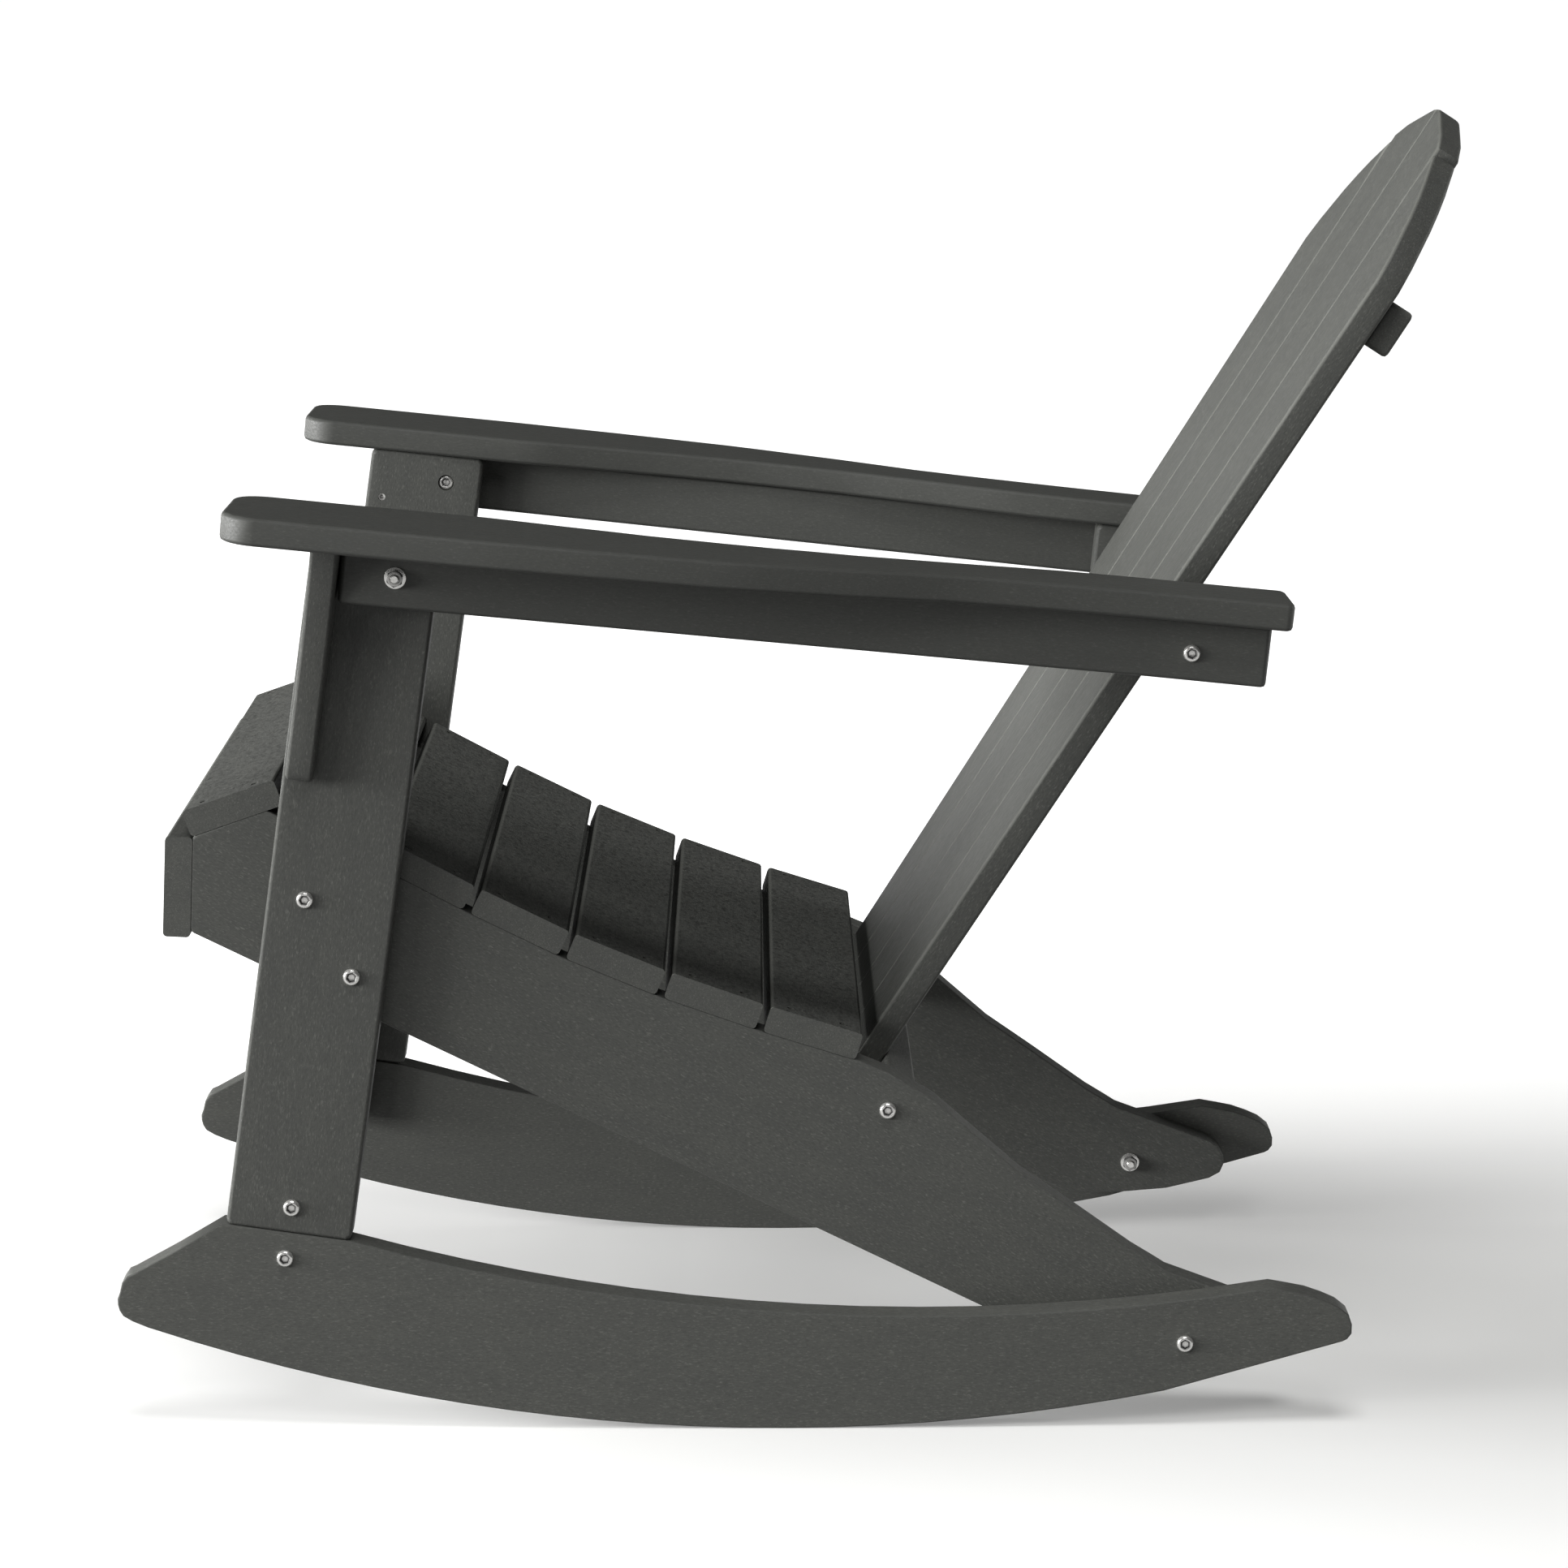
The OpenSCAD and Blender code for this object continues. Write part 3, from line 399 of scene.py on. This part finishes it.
def turnedPiece(node, radii, heights, places, loop=False, paintedShade=()):
    # a profile carried round an axis: row u, angle v stands heights[u] along the axis and
    # radii[u, v] away from it, in mm from the top; a radius that changes with the angle makes a
    # hexagon or a thread; the last argument gives the painted shade, how dark the first rows are
    top, out, across = places[:3]
    rows, count = radii.shape
    angle = 2 * math.pi * np.arange(count) / count
    other = np.cross(out, across)
    ring = np.cos(angle)[:, None] * across[:, None] + np.sin(angle)[:, None] * other[:, None]
    heights = np.broadcast_to(heights, (len(top), rows))
    shape = (heights[:, :, None, None] * out[:, None, None]
             + radii[None, :, :, None] * ring[:, None])
    points = top[:, None, None] + shape / mmPerMetre
    index = np.arange(rows * count).reshape(rows, count)
    upper, lower = (index, np.roll(index, -1, axis=0)) if loop else (index[:-1], index[1:])
    quads = np.stack([upper, np.roll(upper, -1, axis=1), np.roll(lower, -1, axis=1), lower],
                     axis=-1).reshape(-1, 4)
    faces = []
    for start in np.arange(len(top)) * rows * count:
        faces += (quads + start).tolist()
        if not loop:
            faces += [(index[0] + start).tolist(), (index[-1] + start).tolist()]
    mesh = bpy.data.meshes.new(node + "_turned")
    mesh.from_pydata(points.reshape(-1, 3).tolist(), [], faces)
    outward = bmesh.new()
    outward.from_mesh(mesh)
    bmesh.ops.recalc_face_normals(outward, faces=outward.faces)
    outward.to_mesh(mesh)
    outward.free()
    depth = np.zeros(rows)
    depth[:len(paintedShade)] = paintedShade
    mesh.attributes.new("paintedShadeShare", "FLOAT", "POINT").data.foreach_set(
        "value", np.tile(np.repeat(depth, count), len(top)))
    mesh.shade_smooth()
    mesh.set_sharp_from_angle(angle=math.radians(shading["steelCrease"]))
    mesh.materials.append(steel)
    piece = bpy.data.objects.new(node + "_turned", mesh)
    bpy.context.scene.collection.objects.link(piece)
    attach(piece, "root")
    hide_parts(node)


def threadRadii(depths, shank, ridge, pitch, count):
    # a thread: the radius swings between shank - ridge and shank once a pitch, shifted by the angle
    turn = np.arange(count) / count
    swing = np.abs(2 * ((depths[:, None] / pitch - turn) % 1) - 1)
    return shank - ridge + ridge * swing


crossAxis = (1.0, 0.0, 0.0)     # bolts, washers and nuts lie along X
bolt = {                        # mm
    "headRadius": 6.4,
    "headHeight": 3.6,
    "flatRadius": 4.3,          # flat round the socket
    "rim": 0.9,
    "rimFoot": 0.35,            # where the rim turns in to the board
    "rimTurn": 0.3,
    "mouth": 3.65,              # half the chamfered hexagon at the top of the socket
    "chamfer": 0.6,
    "socket": 2.8,              # half the hexagon key
    "socketDepth": 2.0,
    "floor": 1.9,               # flat at the socket's bottom
    "floorRise": 0.3,
    "middle": 0.3,              # closing ring
    "shank": 3.2,
    "pitch": 1.27,
    "ridge": 0.65,
    "threaded": 5.1,
    "runOut": 0.2,              # from the plain shank to the first ridge
    "end": 0.45,                # plain end
    "endTaper": 0.75,
    "turnSteps": 6,             # rows in one pitch
    "domeRows": 9,
    "count": 36,
    # painted shade in the socket, one share for each of the first rows
    "paintedShade": (0.0, 0.1, 1.0, 1.0, 0.6),
}


def addBolts(node):
    # rows from the middle of the socket, over its edge, down the domed head (a quarter ellipse)
    # and along the shank
    b = bolt
    places = fastenerPlaces(node, crossAxis)
    key, plain = polygon(6, b["count"]), np.ones(b["count"])
    t = np.radians(np.linspace(0, 90, b["domeRows"]))
    domeRadius = b["flatRadius"] + (b["headRadius"] - b["flatRadius"]) * np.sin(t)
    domeHeight = b["rim"] + (b["headHeight"] - b["rim"]) * np.cos(t) - b["headHeight"]
    profile = [(b["middle"], -b["socketDepth"], plain),
               (b["floor"], -b["socketDepth"], plain),
               (b["socket"], b["floorRise"] - b["socketDepth"], key),
               (b["socket"], -b["chamfer"], key),
               (b["mouth"], 0.0, key)]
    profile += [(radius, height, plain) for radius, height in zip(domeRadius, domeHeight)]
    profile += [(b["headRadius"], b["rimFoot"] - b["headHeight"], plain),
                (b["headRadius"] - b["rimTurn"], -b["headHeight"], plain),
                (b["shank"], -b["headHeight"], plain)]
    depths = np.arange(b["threaded"], b["end"], -b["pitch"] / b["turnSteps"])
    thread = threadRadii(depths, b["shank"], b["ridge"], b["pitch"], b["count"])
    radii = np.vstack([radius * outline for radius, _, outline in profile]
                      + [b["shank"] * plain, thread, (b["shank"] - b["endTaper"]) * plain])
    end = -mmPerMetre * places[3][:, None]
    head = np.array([height for _, height, _ in profile])
    heights = np.hstack([np.tile(head, (len(end), 1)), end + b["threaded"] + b["runOut"],
                         end + depths, end])
    turnedPiece(node, radii, heights, places, paintedShade=b["paintedShade"])


screw = {                       # mm
    "headRadius": 3.1,
    "rim": 0.2,                 # softening of the head's edge
    "rimTop": 0.15,
    "rimFoot": 0.3,
    "cone": 0.8,                # height of the countersunk head
    "drive": 1.3,               # half the square drive
    "driveDepth": 1.5,
    "driveTaper": 0.9,
    "driveEdge": 0.12,
    "driveChamfer": 0.25,
    "pit": 0.3,                 # in the middle of the drive's floor
    "middle": 0.25,
    "shank": 2.3,
    "pitch": 2.0,
    "ridge": 0.6,
    "threaded": 10.0,
    "point": 3.2,
    "pointStart": 0.08,         # share of the radius
    "tip": 0.15,
    "end": 0.2,
    "turnSteps": 5,             # rows in one pitch
    "count": 24,
}
screwShade = {                 # painted shade: how dark the head's rows are; the seat's screws have heads all in painted shade
    "apron_screws": (0.1, 0.5, 0.1),
    "bracket_screws": (0.1, 0.5, 0.1),
    "back_screws": (0.1, 0.5, 0.1),
    "batten_screws": (0.1, 0.5, 0.1),
    "arm_screws": (0.1, 0.5, 0.1),
    "seat_screws": (1.0,) * 7,
}


def addScrews(node, paintedShade):
    # rows from the middle of the square drive, over the flat head and its cone, then a thread
    # that tapers to a point
    c = screw
    places = fastenerPlaces(node)
    square, plain = polygon(4, c["count"]), np.ones(c["count"])
    profile = [(c["middle"], -c["driveDepth"] - c["pit"], plain),
               (c["drive"] * c["driveTaper"], -c["driveDepth"], square),
               (c["drive"], -c["driveEdge"], square),
               (c["drive"] + c["driveChamfer"], 0.0, square),
               (c["headRadius"] - c["rim"], 0.0, plain),
               (c["headRadius"], -c["rimTop"], plain),
               (c["headRadius"], -c["rimFoot"], plain),
               (c["shank"], -c["cone"], plain)]
    depths = np.arange(c["threaded"], c["end"], -c["pitch"] / c["turnSteps"])
    thread = threadRadii(depths, c["shank"], c["ridge"], c["pitch"], c["count"])
    thread *= np.clip(depths / c["point"] + c["pointStart"], 0, 1)[:, None]
    radii = np.vstack([radius * outline for radius, _, outline in profile]
                      + [thread, c["tip"] * plain])
    end = -mmPerMetre * places[3][:, None]
    head = np.array([height for _, height, _ in profile])
    heights = np.hstack([np.tile(head, (len(end), 1)), end + depths, end])
    turnedPiece(node, radii, heights, places, paintedShade=paintedShade)


washer = {"inner": 3.4, "outer": 8.0, "thick": 1.6, "edge": 0.3, "count": 48}      # mm


def addWashers(node):
    # a closed loop of rows: bore, face, rounded rim, back face
    inner, outer, thick = washer["inner"], washer["outer"], washer["thick"]
    edge, third = washer["edge"], washer["edge"] / 3
    rows = np.array([(inner, -edge), (inner + edge, 0), (outer - edge, 0), (outer - third, -third),
                     (outer, -edge), (outer, edge - thick), (outer - third, third - thick),
                     (outer - edge, -thick), (inner + edge, -thick), (inner, edge - thick)])
    radii = np.repeat(rows[:, :1], washer["count"], axis=1)
    turnedPiece(node, radii, rows[:, 1], fastenerPlaces(node, crossAxis), loop=True)


nut = {                         # mm
    "half": 5.5,                # half the width across the flats
    "high": 5.6,
    "rows": (0.0, 0.15, 0.3, 0.5, 0.75, 1.1),   # depths from each end
    "face": 0.25,               # how far inside the flats the cone starts
    "slope": 1.7,               # of the cone, radius over depth
    "bore": 3.0,
    "boreChamfer": 0.7,
    "boreDepth": 0.6,
    "count": 48,
    # painted shade on the nut's face, its flats and its bore
    "faceShade": 0.4,
    "sideShade": 0.9,
    "boreShade": (1.0, 1.0, 1.0, 0.5),
}


def addNuts(node):
    # a hexagon cut by a cone at each end, which leaves the round face and the curved corners of a
    # real nut
    n = nut
    depth = np.array(n["rows"])
    depth = np.concatenate([depth, n["high"] - depth[::-1]])
    cone = n["half"] - n["face"] + n["slope"] * np.minimum(depth, n["high"] - depth)
    outer = np.minimum(n["half"] * polygon(6, n["count"]), cone[:, None])
    wide = n["bore"] + n["boreChamfer"]
    inner = np.array([(wide, n["high"]), (n["bore"], n["high"] - n["boreDepth"]),
                      (n["bore"], n["boreDepth"]), (wide, 0.0)])
    radii = np.vstack([outer, np.repeat(inner[:, :1], n["count"], axis=1)])
    heights = -np.concatenate([depth, inner[:, 1]])
    paintedShade = [n["faceShade"], *[n["sideShade"]] * (len(depth) - 1), *n["boreShade"]]
    turnedPiece(node, radii, heights, fastenerPlaces(node, crossAxis), loop=True, paintedShade=paintedShade)


for node in ("frame_bolts", "end_bolts", "rail_bolts"):
    addBolts(node)
for node, paintedShade in screwShade.items():
    addScrews(node, paintedShade)
addWashers("frame_washers")
addNuts("frame_nuts")
print("fasteners turned")

studio = {
    "floorSize": 160.0,
    "floorColour": "#e4e4e2",
    "floorRoughness": 0.9,
    "floorSpecular": 0.1,
    "bounceGlow": 0.13,             # painted bounce light: the floor's fixed glow to the chair's matt faces
    "reflectionGlow": 0.68,         # painted reflection: its fixed glow in reflections in them
    "shadePlace": (0.02, 0.9, 0.0),
    "shadeSize": (0.42, 1.0, 1.0),
    "nearGlow": 0.0,            # added for the camera where the chair's shadow falls; the low glow round it is painted shadow
    "farGlow": 1.0,             # and away from it: the floor turns into the white background
    "nearReach": 0.3,           # in shade sizes
    "farReach": 4.0,
    "sky": 0.02,
}


def rayShare(tree, kinds):
    # 1 for rays of the kinds that are named, 0 for all others
    rays = addNode(tree, "ShaderNodeLightPath")
    share = rays.outputs[kinds[0]]
    for kind in kinds[1:]:
        share = addNode(tree, "ShaderNodeMath", {0: share, 1: rays.outputs[kind]},
                        operation="MAXIMUM").outputs[0]
    return share


# Painted floor: matt and pale to the camera, with its glow least round the chair as a painted
# shadow. To light that bounces off it, it is a fixed dim glow, a painted bounce light, and a
# brighter fixed glow in reflections, a painted reflection.
half = studio["floorSize"] / 2
corners = np.array([[-half, -half, 0], [half, -half, 0], [half, half, 0], [-half, half, 0]])
floor = newPiece("studio_floor", corners, np.array([[0, 1, 2], [0, 2, 3]]))
floorMaterial, tree = newMaterial("paintedFloor")
place = addNode(tree, "ShaderNodeTexCoord").outputs["Object"]
# painted shadow: the glow for the camera is least in an ellipse behind the chair
shade = addNode(tree, "ShaderNodeMapping", {
    "Vector": place, "Location": studio["shadePlace"], "Scale": studio["shadeSize"]},
    vector_type="TEXTURE").outputs[0]
away = addNode(tree, "ShaderNodeVectorMath", {0: shade}, operation="LENGTH").outputs["Value"]
glow = addNode(tree, "ShaderNodeMapRange", {
    "Value": away, "From Min": studio["nearReach"], "From Max": studio["farReach"],
    "To Min": studio["nearGlow"], "To Max": studio["farGlow"]}).outputs[0]
pale = addNode(tree, "ShaderNodeBsdfPrincipled", {
    "Base Color": srgbToLinear(studio["floorColour"]), "Roughness": studio["floorRoughness"],
    "Specular IOR Level": studio["floorSpecular"], "Emission Color": (1, 1, 1, 1),
    "Emission Strength": glow}).outputs[0]
# painted bounce light and painted reflection: a fixed glow, whatever light falls on the floor
fixedGlowStrength = addNode(tree, "ShaderNodeMapRange", {
    "Value": rayShare(tree, ("Is Glossy Ray",)), "To Min": studio["bounceGlow"],
    "To Max": studio["reflectionGlow"]}).outputs[0]
fixedFloorGlow = addNode(tree, "ShaderNodeEmission", {"Strength": fixedGlowStrength}).outputs[0]
paint = addNode(tree, "ShaderNodeMixShader", {
    0: rayShare(tree, ("Is Camera Ray", "Is Transmission Ray")), 1: fixedFloorGlow, 2: pale}).outputs[0]
addNode(tree, "ShaderNodeOutputMaterial", {"Surface": paint})
floor.data.materials.append(floorMaterial)

world = bpy.data.worlds.new("studioAir")
bpy.context.scene.world = world
world.use_nodes = True
tree = world.node_tree
tree.nodes.clear()
strength = addNode(tree, "ShaderNodeMapRange", {
    "Value": rayShare(tree, ("Is Camera Ray", "Is Transmission Ray")), "To Min": studio["sky"],
    "To Max": 1.0}).outputs[0]
air = addNode(tree, "ShaderNodeBackground", {"Color": (1, 1, 1, 1), "Strength": strength})
addNode(tree, "ShaderNodeOutputWorld", {"Surface": air.outputs[0]})

# azimuth in degrees from +X, the side in the photograph, towards -Y, the sitter's front
lamps = {
    "frontSoftbox": {"azimuth": 90, "elevation": 8, "watts": 610},
    "quarterSoftbox": {"azimuth": 70, "elevation": 10, "watts": 505},
    "cornerSoftbox": {"azimuth": 50, "elevation": 20, "watts": 143},
    "sideSoftbox": {"azimuth": 0, "elevation": 45, "watts": 94},
    "highSoftbox": {"azimuth": 0, "elevation": 70, "watts": 268},
    "farSoftbox": {"azimuth": 130, "elevation": 8, "watts": 167},
    "rearSoftbox": {"azimuth": -110, "elevation": 8, "watts": 190},
}
softbox = {                     # m
    "size": (3.2, 2.4),
    "distance": 8.0,
    "aim": (0.0, 0.0, 0.45),
}

for name, lamp in lamps.items():
    azimuth, elevation = math.radians(lamp["azimuth"]), math.radians(lamp["elevation"])
    out = Vector((math.cos(azimuth) * math.cos(elevation),
                  -math.sin(azimuth) * math.cos(elevation), math.sin(elevation)))
    light = bpy.data.lights.new(name, "AREA")
    light.shape = "RECTANGLE"
    light.size, light.size_y = softbox["size"]
    light.energy = lamp["watts"]
    holder = bpy.data.objects.new(name, light)
    holder.location = Vector(softbox["aim"]) + out * softbox["distance"]
    holder.rotation_mode = "QUATERNION"
    holder.rotation_quaternion = (-out).to_track_quat("-Z", "Y")
    holder.visible_camera = False
    bpy.context.scene.collection.objects.link(holder)
print("studio lit")

view = {
    "place": (3.56789, -0.037415, 1.133325),        # m
    "forward": (-0.981908, 0.007313, -0.189215),
    "lens": 103.863,            # mm
    "sensor": 36.0,
    "farthest": 400,            # m
}
camera = bpy.data.objects.new("photoCamera", bpy.data.cameras.new("photoCamera"))
camera.data.lens = view["lens"]
camera.data.sensor_width = view["sensor"]
camera.data.clip_end = view["farthest"]
camera.location = view["place"]
camera.rotation_mode = "QUATERNION"
camera.rotation_quaternion = Vector(view["forward"]).to_track_quat("-Z", "Y")
bpy.context.scene.collection.objects.link(camera)
bpy.context.scene.camera = camera
bpy.context.scene.view_settings.view_transform = "Standard"

print("scene ready")
